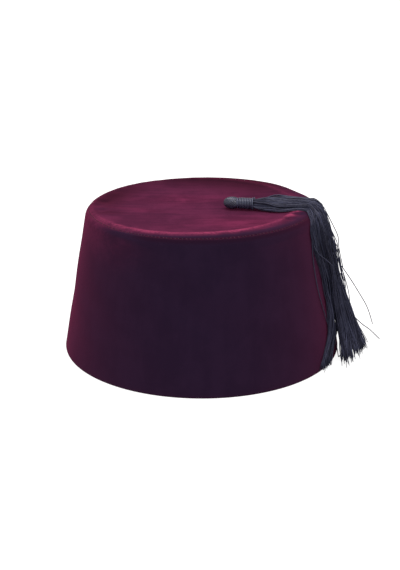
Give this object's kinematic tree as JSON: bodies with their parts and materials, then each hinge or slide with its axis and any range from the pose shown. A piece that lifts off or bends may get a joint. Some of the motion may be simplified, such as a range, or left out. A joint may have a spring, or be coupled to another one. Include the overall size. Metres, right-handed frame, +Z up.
{
  "type": "fez hat",
  "caption": "Stiff wine-red velvet fez with an oval tapering wall, a sewn-in dished top and a black thread tassel falling over the edge.",
  "frame": {"origin": "centre of the head opening, on the surface that the hat stands on", "axes": "+Z up through the top, +X along the oval's length towards the side where the tassel falls, -Y towards the front of the picture"},
  "size_m": [0.237, 0.1788, 0.1227],
  "materials": {
    "wine_velvet": "short dense pile, dark face on and bright along edges",
    "black_thread": "smooth rayon thread with a soft gloss"
  },
  "bodies": {
    "root": {"side_wall": "wine_velvet", "crown_top": "wine_velvet", "tassel_head": "black_thread", "tassel_binding": "black_thread", "tassel_skirt": "black_thread"}
  },
  "joints": []
}
